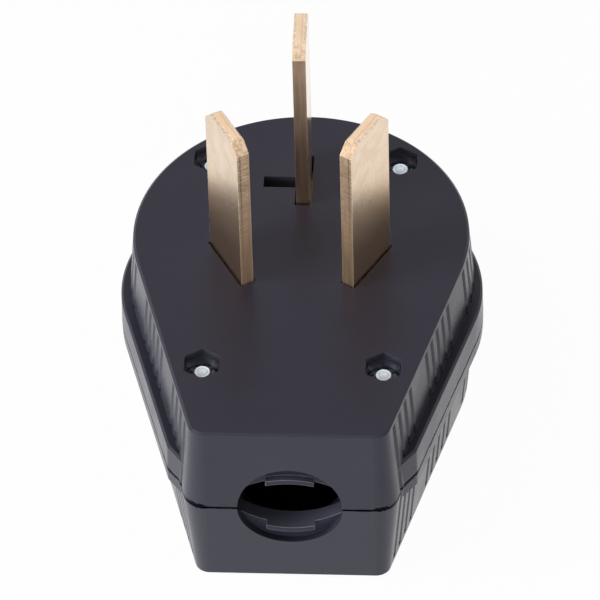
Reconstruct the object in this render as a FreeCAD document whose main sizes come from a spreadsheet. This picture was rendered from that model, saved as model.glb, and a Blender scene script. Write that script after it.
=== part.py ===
import FreeCAD, Part
import math
import os

import Sketcher

# A three-blade power plug whose cord leaves at right angles to the blades. Two moulded shells meet
# on a flat seam and are pulled together by four screws and nuts. The front shell carries the blades,
# the back shell props them from behind, and a grip plate in each shell holds the cord.
# The plug lies on its back: blades up along +Z, cord opening towards -Y. Sizes are in millimetres.

SIZES = (
    ("round_radius", 31.8, "radius of the round end at the seam"),
    ("nose_length", 51.7, "centre of the round end to the cord end, at the seam"),
    ("side_angle", 16.0, "angle of each straight side to the length, degrees"),
    ("corner_radius", 4.4, "upright corners at the cord end, at the seam"),
    ("front_depth", 17.8, "seam to the face"),
    ("back_depth", 19.6, "back to the seam"),
    ("front_draft", 4.5, "slope of the front shell's walls, degrees"),
    ("back_draft", 5.1, "slope of the back shell's walls, degrees"),
    ("face_thickness", 3.0, "plate that the blades pass through"),
    ("floor_thickness", 2.6, "plate at the back"),
    ("wall", 2.4, "side walls"),
    ("inner_corner", 2.2, "upright corners of the wiring space"),
    ("nose_block", 7.2, "solid end that holds the grip plates"),
    ("face_edge", 0.4, "bevelled edge of the face"),
    ("back_edge", 0.7, "bevelled edge of the back"),
    ("seam_gap", 0.3, "height of the shadow line at the seam"),
    ("seam_inset", 0.6, "depth of the shadow line at the seam"),
    ("flange_lip", 1.2, "finger flange beyond the walls at the seam, at its widest"),
    ("flange_spread", 6.2, "centre of each bulging side of the flange, from the middle of the plug"),
    ("flange_setback", 2.3, "those centres, from the centre of the round end to the nose"),
    ("flange_angle", 16.45, "angle of the flange's sides to the length, degrees"),
    ("flange_rise", 6.0, "seam to the flange's ledge"),
    ("flange_drop", 2.8, "seam to the flange's lower edge"),
    ("flange_draft", 1.2, "slope of the flange's sides, away from the seam, degrees"),
    ("flange_stop", 10.2, "nose to the rounded corner at the flange's end"),
    ("flange_tail", 5.7, "length of the flange's end, most of it hidden in the wall"),
    ("flange_slant", 37.0, "angle of the flange's end to the length, degrees"),
    ("flange_corner", 1.6, "corner between the flange's side and its end"),
    ("flange_edge", 0.4, "bevelled edge of the ledge"),
    ("groove_width", 1.4, "upright grooves in the side walls"),
    ("groove_cut", 0.35, "depth of the grooves"),
    ("groove_pitch", 3.1, "one groove to the next"),
    ("groove_row", 21.6, "one group of grooves to the next"),
    ("groove_middle", 14.7, "middle group, from where the straight side begins"),
    ("groove_margin", 1.1, "groove end to the face or the back"),
    ("near_screw_wall", 7.12, "screws by the cord, from the wall at the seam"),
    ("near_screw_nose", 18.5, "screws by the cord, from the nose"),
    ("far_screw_wall", 6.21, "screws at the round end, from the wall at the seam"),
    ("boss_radius", 4.4, "round posts for the screws"),
    ("boss_gap", 0.65, "post at the round end to the middle blade's foot"),
    ("screw_radius", 1.5, "housing screw"),
    ("screw_hole_gap", 0.2, "room round the housing screw"),
    ("screw_length", 30.0, "housing screw under its head"),
    ("screw_head_radius", 2.8, "housing screw head"),
    ("screw_head_height", 2.0, "housing screw head"),
    ("cross_length", 3.2, "cross recess in the head"),
    ("cross_width", 0.8, "cross recess in the head"),
    ("cross_depth", 1.1, "cross recess in the head"),
    ("screw_head_gap", 0.35, "room round the head in its counterbore"),
    ("tip_depth", 2.0, "face to the end of the housing screw"),
    ("nut_flats", 5.5, "nut across its flats"),
    ("nut_height", 2.4, "nut"),
    ("nut_depth", 3.0, "face to the top of the nut"),
    ("nut_gap", 0.1, "room round the nut"),
    ("recess_flats", 6.3, "wider mouth of the nut pocket, across flats"),
    ("recess_depth", 1.3, "depth of that mouth"),
    ("thread_gap", 0.05, "room between a screw and its thread"),
    ("blade_width", 12.2, "blades"),
    ("blade_thickness", 2.4, "blades and their feet"),
    ("hot_reach", 34.4, "side blades above the face"),
    ("neutral_reach", 38.4, "middle blade above the face"),
    ("hot_wall", 17.47, "side blades, from the wall at the seam"),
    ("hot_bearing", 32.03, "side blades, below the middle of the round end, degrees"),
    ("hot_angle", 30.4, "turn of the side blades, degrees"),
    ("neutral_wall", 18.3, "middle blade, from the wall at the seam"),
    ("blade_corner", 2.4, "cut corners at a blade's top"),
    ("blade_bevel", 0.5, "thinned edge at a blade's top"),
    ("blade_bend", 1.6, "outside of the bend between blade and foot"),
    ("slot_gap", 0.3, "room round a blade in the face"),
    ("arm_length", 6.2, "side arm of the middle slot"),
    ("arm_width", 2.8, "side arm of the middle slot"),
    ("arm_shift", 0.5, "side arm, from the middle of the slot to the nose"),
    ("foot_length", 12.2, "foot, from the middle of its blade"),
    ("terminal_offset", 7.2, "terminal screw, from the middle of its blade"),
    ("terminal_radius", 2.5, "terminal screw"),
    ("terminal_head_radius", 4.1, "terminal screw head"),
    ("terminal_head_height", 2.6, "terminal screw head"),
    ("terminal_slot", 1.1, "slot in the head"),
    ("clamp_length", 8.2, "wire clamp along the foot"),
    ("clamp_width", 9.6, "wire clamp across the foot"),
    ("clamp_thickness", 1.2, "wire clamp"),
    ("prop_thickness", 2.1, "prop under each blade"),
    ("prop_width", 10.0, "prop under each blade"),
    ("prop_inset", 0.55, "prop's near side, from the middle of the blade"),
    ("prop_gap", 0.1, "prop to the foot"),
    ("cord_radius", 9.4, "round cord opening"),
    ("nose_skin", 2.1, "wall in front of the grip plates"),
    ("grip_thickness", 2.8, "grip plates"),
    ("grip_half_width", 12.5, "grip plates"),
    ("grip_height", 10.4, "grip plates, seam to outer edge"),
    ("grip_gap", 0.2, "room round a grip plate"),
    ("grip_arc", 15.4, "radius of the gripping edge"),
    ("grip_crown", 5.7, "seam to the middle of the gripping edge"),
    ("tongue_width", 8.6, "tongue on a grip plate"),
    ("tongue_height", 1.0, "tongue on a grip plate"),
    ("tongue_length", 1.3, "tongue on a grip plate"),
    ("overrun", 1.0, "how far a cutter runs past the surface that it opens"),
)

DOC = FreeCAD.newDocument("power_plug")
SHEET = DOC.addObject("Spreadsheet::Sheet", "Sizes")
for row, (alias, size, note) in enumerate(SIZES, start=1):
    SHEET.set("A%d" % row, alias)
    SHEET.set("B%d" % row, str(size))
    SHEET.set("C%d" % row, note)
    SHEET.setAlias("B%d" % row, alias)
DOC.recompute()

# Places that several pieces share, as expressions of the sheet
CENTRE_Y = "((Sizes.nose_length - Sizes.round_radius) / 2)"
NOSE_Y = "(%s - Sizes.nose_length)" % CENTRE_Y
SEAM_Z = "Sizes.back_depth"
FACE_Z = "(Sizes.back_depth + Sizes.front_depth)"
CEILING_Z = "(%s - Sizes.face_thickness)" % FACE_Z
FOOT_Z = "(%s - Sizes.blade_thickness)" % CEILING_Z
SCREW_SEAT_Z = "(%s - Sizes.tip_depth - Sizes.screw_length)" % FACE_Z
NUT_SEAT_Z = "(%s - Sizes.nut_depth - Sizes.nut_height)" % FACE_Z
POST_Z = "(Sizes.floor_thickness / 2)"
HOLE_RADIUS = "(Sizes.screw_radius + Sizes.screw_hole_gap)"
GRIP_Y = "(%s + Sizes.nose_skin + Sizes.grip_gap / 2)" % NOSE_Y


# The side blades stand on a circle about the centre of the round end, the middle blade beyond it
HOT_X = "((Sizes.round_radius - Sizes.hot_wall) * cos(Sizes.hot_bearing))"
HOT_Y = "(%s - (Sizes.round_radius - Sizes.hot_wall) * sin(Sizes.hot_bearing))" % CENTRE_Y
NEUTRAL_Y = "(%s + Sizes.round_radius - Sizes.neutral_wall)" % CENTRE_Y
BLADES = {
    "left": ("(-%s)" % HOT_X, HOT_Y, "(180 + Sizes.hot_angle)", "Sizes.hot_reach"),
    "right": (HOT_X, HOT_Y, "(-Sizes.hot_angle)", "Sizes.hot_reach"),
    "neutral": ("0", NEUTRAL_Y, "0", "Sizes.neutral_reach"),
}

# Two screws stand inside the straight walls by the cord, two inside the round end past the middle blade
NEAR_Y = "(%s + Sizes.near_screw_nose)" % NOSE_Y
NEAR_LEAN = "((%s - %s) * sin(Sizes.side_angle))" % (CENTRE_Y, NEAR_Y)
NEAR_X = "((Sizes.round_radius - Sizes.near_screw_wall - %s) / cos(Sizes.side_angle))" % NEAR_LEAN
FAR_X = "(Sizes.foot_length + Sizes.boss_gap + Sizes.boss_radius)"
FAR_Y = "(%s + sqrt((Sizes.round_radius - Sizes.far_screw_wall) ^ 2 - %s ^ 2))" % (CENTRE_Y, FAR_X)
SCREWS = {
    "near_left": ("(-%s)" % NEAR_X, NEAR_Y),
    "near_right": (NEAR_X, NEAR_Y),
    "far_left": ("(-%s)" % FAR_X, FAR_Y),
    "far_right": (FAR_X, FAR_Y),
}
GROOVE_GROUPS = (-1, 0, 1)
GROOVE_STEPS = (-2, -1, 0, 1, 2)
NEARLY = 0.001
NODES = []


def value(expression):
    """The number that an expression of the sheet stands for."""
    return float(SHEET.evalExpression(expression))


def bind(thing, **expressions):
    """Ties properties of an object to expressions of the sheet."""
    for name, expression in expressions.items():
        thing.setExpression(name, expression)
    return thing


def place(thing, x="0", y="0", z="0", turn="0", tilt="0", roll="0"):
    """Puts an object at a point, turned about Z, then tilted about its Y, then rolled about its X."""
    thing.setExpression(
        "Placement", "placement(vector(%s; %s; %s); rotation(%s; %s; %s))" % (x, y, z, turn, tilt, roll)
    )
    return thing


def node(thing, label):
    """Names a finished piece."""
    thing.Label = label
    NODES.append(thing)
    return thing


def cylinder(name, radius, height, x="0", y="0", z="0", roll="0"):
    solid = DOC.addObject("Part::Cylinder", name)
    bind(solid, Radius=radius, Height=height)
    return place(solid, x, y, z, roll=roll)


def hexagon(name, flats, height, x="0", y="0", z="0"):
    """An upright hexagon with two of its corners along Y."""
    solid = DOC.addObject("Part::Prism", name)
    solid.Polygon = 6
    bind(solid, Circumradius="%s / 2 / cos(30)" % flats, Height=height)
    return place(solid, x, y, z, turn="90")


def box(name, length, width, height, x="0", y="0", z="0", turn="0"):
    solid = DOC.addObject("Part::Box", name)
    bind(solid, Length=length, Width=width, Height=height)
    return place(solid, x, y, z, turn)


def joined(name, pieces):
    union = DOC.addObject("Part::MultiFuse", name)
    union.Shapes = pieces
    union.Refine = True
    return union


def cut(name, base, tool):
    rest = DOC.addObject("Part::Cut", name)
    rest.Base, rest.Tool = base, tool
    return rest


def origin_plane(body, role):
    return next(item for item in body.Origin.OriginFeatures if item.Role == role)


def new_sketch(body, name, role="XY_Plane", height="0"):
    """A sketch on one of its body's own planes, raised along the plane's normal."""
    sketch = body.newObject("Sketcher::SketchObject", name)
    sketch.AttachmentSupport = (origin_plane(body, role), [""])
    sketch.MapMode = "FlatFace"
    sketch.setExpression(".AttachmentOffset.Base.z", height)
    return sketch


def size_constraint(sketch, name, expression, kind, *where):
    """A dimension of a sketch, named and tied to the sheet."""
    number = value(expression)
    if kind == "Angle":
        number = math.radians(number)
    index = sketch.addConstraint(Sketcher.Constraint(kind, *where, number))
    sketch.renameConstraint(index, name)
    sketch.setExpression("Constraints.%s" % name, expression)


def circle(centre_x, centre_y, radius):
    return Part.Circle(FreeCAD.Vector(centre_x, centre_y, 0), FreeCAD.Vector(0, 0, 1), radius)


def arc(centre_x, centre_y, radius, start, end):
    """An arc from one angle to another, in degrees."""
    whole = circle(centre_x, centre_y, radius)
    return Part.ArcOfCircle(whole, math.radians(start), math.radians(end))


def line(start, end):
    return Part.LineSegment(FreeCAD.Vector(*start, 0), FreeCAD.Vector(*end, 0))


def turns(*angles):
    """The cosine and sine of each angle in degrees, flat in one list."""
    return [turn(math.radians(angle)) for angle in angles for turn in (math.cos, math.sin)]


def housing_outline(sketch, centre_y, radius, angle, corner, end_y):
    """A round end, two straight sides, and a blunt end joined to the sides by round corners."""
    middle, big, lean, small, low = (value(item) for item in (centre_y, radius, angle, corner, end_y))
    cos_lean, sin_lean = turns(lean)
    corner_y = low + small
    corner_x = ((big - small) + (corner_y - middle) * sin_lean) / cos_lean
    on_side = (corner_x + small * cos_lean, corner_y - small * sin_lean)
    touch = (big * cos_lean, middle - big * sin_lean)
    sketch.addGeometry([
        arc(corner_x, corner_y, small, -90, -lean),
        line(on_side, touch),
        arc(0, middle, big, -lean, 180 + lean),
        line((-touch[0], touch[1]), (-on_side[0], on_side[1])),
        arc(-corner_x, corner_y, small, 180 + lean, 270),
        line((-corner_x, low), (corner_x, low)),
    ], False)
    rule = Sketcher.Constraint
    rules = [rule("Tangent", item, 2, (item + 1) % 6, 1) for item in range(6)]
    rules += [rule("PointOnObject", 2, 3, -2), rule("Symmetric", 1, 1, 3, 2, -2), rule("Equal", 0, 4)]
    sketch.addConstraint(rules)
    size_constraint(sketch, "round_end", radius, "Radius", 2)
    size_constraint(sketch, "corner", corner, "Radius", 0)
    size_constraint(sketch, "middle", centre_y, "DistanceY", -1, 1, 2, 3)
    size_constraint(sketch, "reach", "%s - %s" % (centre_y, end_y), "DistanceY", 5, 1, 2, 3)
    size_constraint(sketch, "lean", "90 - %s" % angle, "Angle", 1)


def flange_outline(sketch, centre_x, centre_y, radius, angle, corner, stop_y, slant, end_y):
    """Two bulging sides that run straight on towards the nose and turn inwards at a rounded corner.
    The lines that join the sides across the plug lie inside its walls."""
    side, middle, big, lean, small, corner_y, flank, low = (
        value(item) for item in (centre_x, centre_y, radius, angle, corner, stop_y, slant, end_y)
    )
    cos_lean, sin_lean, cos_flank, sin_flank = turns(lean, flank)
    corner_x = side + ((big - small) + (corner_y - middle) * sin_lean) / cos_lean
    on_side = (corner_x + small * cos_lean, corner_y - small * sin_lean)
    on_flank = (corner_x + small * cos_flank, corner_y - small * sin_flank)
    touch = (side + big * cos_lean, middle - big * sin_lean)
    high = middle + big
    low_x = on_flank[0] - (on_flank[1] - low) * sin_flank / cos_flank
    sketch.addGeometry([
        arc(corner_x, corner_y, small, -flank, -lean),
        line(on_side, touch),
        arc(side, middle, big, -lean, 90),
        line((side, high), (-side, high)),
        arc(-side, middle, big, 90, 180 + lean),
        line((-touch[0], touch[1]), (-on_side[0], on_side[1])),
        arc(-corner_x, corner_y, small, 180 + lean, 180 + flank),
        line((-on_flank[0], on_flank[1]), (-low_x, low)),
        line((-low_x, low), (low_x, low)),
        line((low_x, low), on_flank),
    ], False)
    rule = Sketcher.Constraint
    rules = [rule("Tangent", item, 2, (item + 1) % 10, 1) for item in (0, 1, 2, 3, 4, 5, 6, 9)]
    rules += [rule("Coincident", 7, 2, 8, 1), rule("Coincident", 8, 2, 9, 1)]
    rules += [rule("Symmetric", 2, 3, 4, 3, -2), rule("Symmetric", 1, 1, 5, 2, -2)]
    rules += [rule("Symmetric", 8, 1, 8, 2, -2), rule("Equal", 0, 6), rule("Equal", 2, 4)]
    sketch.addConstraint(rules)
    size_constraint(sketch, "bulge", radius, "Radius", 2)
    size_constraint(sketch, "corner", corner, "Radius", 0)
    size_constraint(sketch, "spread", centre_x, "DistanceX", -1, 1, 2, 3)
    size_constraint(sketch, "middle", centre_y, "DistanceY", -1, 1, 2, 3)
    size_constraint(sketch, "reach", "%s - %s" % (centre_y, end_y), "DistanceY", 8, 1, 2, 3)
    size_constraint(sketch, "lean", "90 - %s" % angle, "Angle", 1)
    size_constraint(sketch, "flank", "90 - %s" % slant, "Angle", 9)
    size_constraint(sketch, "stop", "%s - %s" % (centre_y, stop_y), "DistanceY", 0, 3, 2, 3)


def edges_at(shape, height):
    """Names of the edges that lie in one level plane."""
    names = []
    for number, edge in enumerate(shape.Edges, start=1):
        if all(abs(vertex.Z - height) < NEARLY for vertex in edge.Vertexes):
            names.append("Edge%d" % number)
    return names


def edge_middle(shape, name):
    """The middle of a named edge."""
    edge = shape.getElement(name)
    return edge.valueAt((edge.FirstParameter + edge.LastParameter) / 2)


def moulding(name, outline, start, depth, draft, edge="0"):
    """A solid with one outline at its start, tapered by its draft, with a bevelled far edge.
    A negative depth goes down."""
    body = DOC.addObject("PartDesign::Body", name)
    sketch = new_sketch(body, name + "_outline", height=start)
    draw, sizes = outline
    draw(sketch, **sizes)
    pad = body.newObject("PartDesign::Pad", name + "_pad")
    pad.Profile = sketch
    pad.Reversed = value(depth) < 0
    bind(pad, Length="abs(%s)" % depth, TaperAngle="-(%s)" % draft)
    DOC.recompute()
    if value(edge) > 0:
        rim = body.newObject("PartDesign::Chamfer", name + "_edge")
        rim.Base = (pad, edges_at(pad.Shape, value("%s + %s" % (start, depth))))
        bind(rim, Size=edge)
    return body


def housing_plan(inset="0"):
    """The shells' outline at the seam, drawn in by an inset."""
    return housing_outline, dict(
        centre_y=CENTRE_Y,
        radius="(Sizes.round_radius - %s)" % inset,
        angle="Sizes.side_angle",
        corner="(Sizes.corner_radius - %s)" % inset,
        end_y="(%s + %s)" % (NOSE_Y, inset),
    )


def wiring_plan():
    """The outline of the space inside the shells, at the seam."""
    return housing_outline, dict(
        centre_y=CENTRE_Y,
        radius="(Sizes.round_radius - Sizes.wall)",
        angle="Sizes.side_angle",
        corner="Sizes.inner_corner",
        end_y="(%s + Sizes.nose_block)" % NOSE_Y,
    )


def flange_plan(inset="0"):
    """The outline of the finger flange at the seam, drawn in by an inset."""
    return flange_outline, dict(
        centre_x="Sizes.flange_spread",
        centre_y="(%s - Sizes.flange_setback)" % CENTRE_Y,
        radius="(Sizes.round_radius + Sizes.flange_lip - Sizes.flange_spread - %s)" % inset,
        angle="Sizes.flange_angle",
        corner="Sizes.flange_corner",
        stop_y="(%s + Sizes.flange_stop + %s)" % (NOSE_Y, inset),
        slant="Sizes.flange_slant",
        end_y="(%s + Sizes.flange_stop - Sizes.flange_tail + %s)" % (NOSE_Y, inset),
    )


def groove_spots():
    """Where the grooves stand: for each, its point on the wall at the seam and the way the wall faces
    there. Groups repeat along the straight side, and the last one runs on round the bend."""
    spots = []
    straight = "(Sizes.nose_length - Sizes.round_radius * sin(Sizes.side_angle)) / cos(Sizes.side_angle)"
    usable = value("%s - Sizes.corner_radius" % straight)
    for group in GROOVE_GROUPS:
        for step in GROOVE_STEPS:
            along = "(Sizes.groove_middle + %d * Sizes.groove_row" % group
            along += " + %d * Sizes.groove_pitch)" % step
            if value(along) > usable:
                continue
            if value(along) > 0:
                facing = "(-Sizes.side_angle)"
                run = along
            else:
                facing = "(-Sizes.side_angle - %s / Sizes.round_radius * 180 / pi)" % along
                run = "0"
            spot_x = "(Sizes.round_radius * cos(%s) - %s * sin(Sizes.side_angle))" % (facing, run)
            spot_y = "(%s + Sizes.round_radius * sin(%s) - %s * cos(Sizes.side_angle))" % (
                CENTRE_Y, facing, run)
            spots.append((spot_x, spot_y, facing))
    return spots


def grooves(name, start, height, lean):
    """Upright V-shaped grooves in both side walls. Each cutter leans with the wall, its edge inwards."""
    cutters = []
    for number, (spot_x, spot_y, facing) in enumerate(groove_spots()):
        for side, mirror in (("right", "1"), ("left", "-1")):
            turn = facing if side == "right" else "(180 - %s)" % facing
            wedge = DOC.addObject("Part::Wedge", "%s_%s_%d" % (name, side, number))
            bind(
                wedge, Xmin="-Sizes.groove_width", Xmax="Sizes.groove_width", X2min="0", X2max="0",
                Ymin="-Sizes.groove_cut", Ymax="Sizes.groove_cut",
                Zmin="0", Zmax=height, Z2min="0", Z2max=height,
            )
            # The lean carries the cutter's start in or out by this much
            drift = "((%s - %s) * tan(%s))" % (start, SEAM_Z, lean)
            cutters.append(place(
                wedge, "%s * %s + %s * cos(%s)" % (mirror, spot_x, drift, turn),
                "%s + %s * sin(%s)" % (spot_y, drift, turn), start, "%s + 90" % turn, roll=lean,
            ))
    group = DOC.addObject("Part::Compound", name)
    group.Links = cutters
    return group


def screw_posts(name, radius, start, height):
    """One round post or hole at each housing screw."""
    return [cylinder("%s_%s" % (name, key), radius, height, x, y, start) for key, (x, y) in SCREWS.items()]


def cord_room(name):
    """The round cord opening through the nose, and the slot that the grip plates stand in."""
    bore = cylinder(
        name + "_bore", "Sizes.cord_radius", "Sizes.nose_block + 2 * Sizes.overrun",
        "0", "%s - Sizes.overrun" % NOSE_Y, SEAM_Z, roll="-90",
    )
    slot = box(
        name + "_slot", "2 * (Sizes.grip_half_width + Sizes.grip_gap)",
        "Sizes.grip_thickness + Sizes.grip_gap", "2 * (Sizes.grip_height + Sizes.grip_gap)",
        "-(Sizes.grip_half_width + Sizes.grip_gap)", "%s + Sizes.nose_skin" % NOSE_Y,
        "%s - Sizes.grip_height - Sizes.grip_gap" % SEAM_Z,
    )
    return [bore, slot]


def blade_slots():
    """The openings in the face that the blades pass through, and the middle one's side arm."""
    slots = []
    start = "%s - Sizes.overrun" % CEILING_Z
    height = "Sizes.face_thickness + 2 * Sizes.overrun"
    for name, (x, y, turn, reach) in BLADES.items():
        length = "(Sizes.blade_thickness + 2 * Sizes.slot_gap)"
        width = "(Sizes.blade_width + 2 * Sizes.slot_gap)"
        slots.append(box(
            "slot_" + name, length, width, height,
            "%s - %s / 2 * cos(%s) + %s / 2 * sin(%s)" % (x, length, turn, width, turn),
            "%s - %s / 2 * sin(%s) - %s / 2 * cos(%s)" % (y, length, turn, width, turn),
            start, turn,
        ))
    arm_y = "%s - Sizes.arm_shift - Sizes.arm_width / 2" % NEUTRAL_Y
    arm_reach = "(Sizes.arm_length + Sizes.blade_thickness / 2)"
    slots.append(box("slot_arm", arm_reach, "Sizes.arm_width", height, "-" + arm_reach, arm_y, start))
    return slots


def front_shell():
    """Face, side walls, finger flange, posts with nut pockets, blade slots and half of the cord end."""
    skin_start = "(%s + Sizes.seam_gap)" % SEAM_Z
    walls = moulding(
        "front_walls", housing_plan(), skin_start, "(Sizes.front_depth - Sizes.seam_gap)",
        "Sizes.front_draft", "Sizes.face_edge",
    )
    cut_grooves = grooves(
        "front_grooves", SEAM_Z, "Sizes.front_depth - Sizes.groove_margin", "(-Sizes.front_draft)")
    grooved = cut("front_grooved", walls, cut_grooves)
    flange = moulding(
        "front_flange", flange_plan(), skin_start, "(Sizes.flange_rise - Sizes.seam_gap)",
        "Sizes.flange_draft", "Sizes.flange_edge",
    )
    rim_height = "(Sizes.seam_gap + Sizes.overrun)"
    rim = moulding("front_rim", housing_plan("Sizes.seam_inset"), SEAM_Z, rim_height, "0")
    flange_rim = moulding("front_flange_rim", flange_plan("Sizes.seam_inset"), SEAM_Z, rim_height, "0")
    block = joined("front_block", [grooved, flange, rim, flange_rim])
    inside = "(Sizes.front_depth - Sizes.face_thickness)"
    room = moulding("front_room", wiring_plan(), SEAM_Z, inside, "Sizes.front_draft")
    hollow = cut("front_hollow", block, room)
    posts = screw_posts("front_post", "Sizes.boss_radius", SEAM_Z, inside)
    filled = joined("front_filled", [hollow] + posts)
    cutters = screw_posts(
        "front_hole", HOLE_RADIUS, "%s - Sizes.overrun" % SEAM_Z, "Sizes.front_depth + 2 * Sizes.overrun")
    for key, (x, y) in SCREWS.items():
        cutters.append(hexagon(
            "nut_pocket_" + key, "(Sizes.nut_flats + 2 * Sizes.nut_gap)",
            "%s - %s + Sizes.overrun" % (FACE_Z, NUT_SEAT_Z), x, y, NUT_SEAT_Z,
        ))
        cutters.append(hexagon(
            "nut_recess_" + key, "Sizes.recess_flats", "Sizes.recess_depth + Sizes.overrun",
            x, y, "%s - Sizes.recess_depth" % FACE_Z,
        ))
    cutters += blade_slots() + cord_room("front_cord")
    return node(cut("front_shell_solid", filled, joined("front_cutters", cutters)), "front_shell")


def back_shell():
    """Floor, side walls, lower half of the flange, screw posts, blade props and half of the cord end."""
    walls = moulding(
        "back_walls", housing_plan(), SEAM_Z, "(-Sizes.back_depth)", "Sizes.back_draft", "Sizes.back_edge")
    cut_grooves = grooves(
        "back_grooves", "Sizes.groove_margin + Sizes.back_edge", "Sizes.back_depth", "Sizes.back_draft")
    grooved = cut("back_grooved", walls, cut_grooves)
    flange = moulding("back_flange", flange_plan(), SEAM_Z, "(-Sizes.flange_drop)", "Sizes.flange_draft")
    block = joined("back_block", [grooved, flange])
    inside = "(Sizes.floor_thickness - Sizes.back_depth)"
    room = moulding("back_room", wiring_plan(), SEAM_Z, inside, "Sizes.back_draft")
    hollow = cut("back_hollow", block, room)
    posts = screw_posts("back_post", "Sizes.boss_radius", POST_Z, "%s - %s" % (SEAM_Z, POST_Z))
    for name, (x, y, turn, reach) in BLADES.items():
        posts.append(box(
            "prop_" + name, "Sizes.prop_thickness", "Sizes.prop_width",
            "%s - Sizes.prop_gap - %s" % (FOOT_Z, POST_Z),
            "%s + Sizes.prop_inset * cos(%s) + Sizes.prop_width / 2 * sin(%s)" % (x, turn, turn),
            "%s + Sizes.prop_inset * sin(%s) - Sizes.prop_width / 2 * cos(%s)" % (y, turn, turn),
            POST_Z, turn,
        ))
    filled = joined("back_filled", [hollow] + posts)
    cutters = screw_posts("back_hole", HOLE_RADIUS, "-Sizes.overrun", "%s + 2 * Sizes.overrun" % SEAM_Z)
    cutters += screw_posts(
        "counterbore", "(Sizes.screw_head_radius + Sizes.screw_head_gap)", "-Sizes.overrun",
        "%s + Sizes.overrun" % SCREW_SEAT_Z,
    )
    cutters += cord_room("back_cord")
    return node(cut("back_shell_solid", filled, joined("back_cutters", cutters)), "back_shell")


def outline(sketch, points):
    """A closed outline of straight lines whose corners are joined."""
    ends = points[1:] + points[:1]
    sketch.addGeometry([line(start, end) for start, end in zip(points, ends)], False)
    count = len(points)
    joins = [Sketcher.Constraint("Coincident", item, 2, (item + 1) % count, 1) for item in range(count)]
    sketch.addConstraint(joins)


def blade(name):
    """A flat brass blade with cut corners and a thinned tip, bent over into a foot with a screw hole."""
    x, y, turn, reach = BLADES[name]
    half = "(Sizes.blade_thickness / 2)"
    foot = "Sizes.blade_thickness"
    tall = "(Sizes.blade_thickness + Sizes.face_thickness + %s)" % reach
    body = DOC.addObject("PartDesign::Body", name + "_blade_body")
    profile = new_sketch(body, name + "_blade_profile", "XZ_Plane")
    thin, long_foot, rise = value(half), value("Sizes.foot_length"), value(tall)
    thick = value(foot)
    outline(profile, [
        (-thin, 0), (long_foot, 0), (long_foot, thick), (thin, thick), (thin, rise), (-thin, rise)])
    for edge in (0, 2, 4):
        profile.addConstraint(Sketcher.Constraint("Horizontal", edge))
    for edge in (1, 3, 5):
        profile.addConstraint(Sketcher.Constraint("Vertical", edge))
    profile.addConstraint(Sketcher.Constraint("PointOnObject", 0, 1, -1))
    size_constraint(profile, "half_left", half, "DistanceX", 0, 1, -1, 1)
    size_constraint(profile, "foot_end", "Sizes.foot_length", "DistanceX", -1, 1, 0, 2)
    size_constraint(profile, "foot_height", foot, "DistanceY", 1, 1, 1, 2)
    size_constraint(profile, "half_right", half, "DistanceX", -1, 1, 3, 1)
    size_constraint(profile, "rise", tall, "DistanceY", 0, 1, 5, 1)
    strip = body.newObject("PartDesign::Pad", name + "_strip")
    strip.Profile = profile
    strip.SideType = "Symmetric"
    bind(strip, Length="Sizes.blade_width")
    DOC.recompute()
    bend = body.newObject("PartDesign::Fillet", name + "_bend")
    bend.Base = (strip, [edge for edge in edges_at(strip.Shape, 0.0)
                         if edge_middle(strip.Shape, edge).x < NEARLY - thin])
    bind(bend, Radius="Sizes.blade_bend")
    DOC.recompute()
    corners = body.newObject("PartDesign::Chamfer", name + "_corners")
    corners.Base = (bend, [edge for edge in edges_at(bend.Shape, rise)
                           if abs(edge_middle(bend.Shape, edge).y) > NEARLY])
    bind(corners, Size="Sizes.blade_corner")
    DOC.recompute()
    bevel = body.newObject("PartDesign::Chamfer", name + "_bevel")
    bevel.Base = (corners, [edge for edge in edges_at(corners.Shape, rise)
                            if abs(edge_middle(corners.Shape, edge).y) < NEARLY])
    bind(bevel, Size="Sizes.blade_bevel")
    hole = new_sketch(body, name + "_hole_circle", "XY_Plane")
    hole.addGeometry(circle(value("Sizes.terminal_offset"), 0, value("Sizes.terminal_radius")))
    hole.addConstraint(Sketcher.Constraint("PointOnObject", 0, 3, -1))
    size_constraint(hole, "offset", "Sizes.terminal_offset", "DistanceX", -1, 1, 0, 3)
    size_constraint(hole, "hole_radius", "Sizes.terminal_radius + Sizes.thread_gap", "Radius", 0)
    drilled = body.newObject("PartDesign::Pocket", name + "_hole")
    drilled.Profile = hole
    drilled.Reversed = True
    bind(drilled, Length="Sizes.blade_thickness")
    place(body, x, y, FOOT_Z, turn)
    return node(body, name + "_blade")


def beside(name, offset):
    """A point on a blade's foot, at an offset from the middle of the blade."""
    x, y, turn, reach = BLADES[name]
    return "%s + %s * cos(%s)" % (x, offset, turn), "%s + %s * sin(%s)" % (y, offset, turn), turn


def terminal_screw(name):
    """A slotted screw that goes up through the wire clamp into the blade's foot."""
    x, y, turn = beside(name, "Sizes.terminal_offset")
    key = name + "_terminal"
    head_start = "-(Sizes.clamp_thickness + Sizes.terminal_head_height)"
    head = cylinder(key + "_head", "Sizes.terminal_head_radius", "Sizes.terminal_head_height", z=head_start)
    shank = cylinder(
        key + "_shank", "Sizes.terminal_radius",
        "Sizes.clamp_thickness + Sizes.blade_thickness - Sizes.thread_gap", z="-Sizes.clamp_thickness")
    slot = box(
        key + "_slot", "2 * Sizes.terminal_head_radius", "Sizes.terminal_slot", "Sizes.terminal_slot",
        "-Sizes.terminal_head_radius", "-Sizes.terminal_slot / 2", head_start,
    )
    whole = cut(key + "_screw_solid", joined(key + "_stock", [head, shank]), slot)
    place(whole, x, y, FOOT_Z, turn)
    return node(whole, name + "_terminal_screw")


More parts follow.
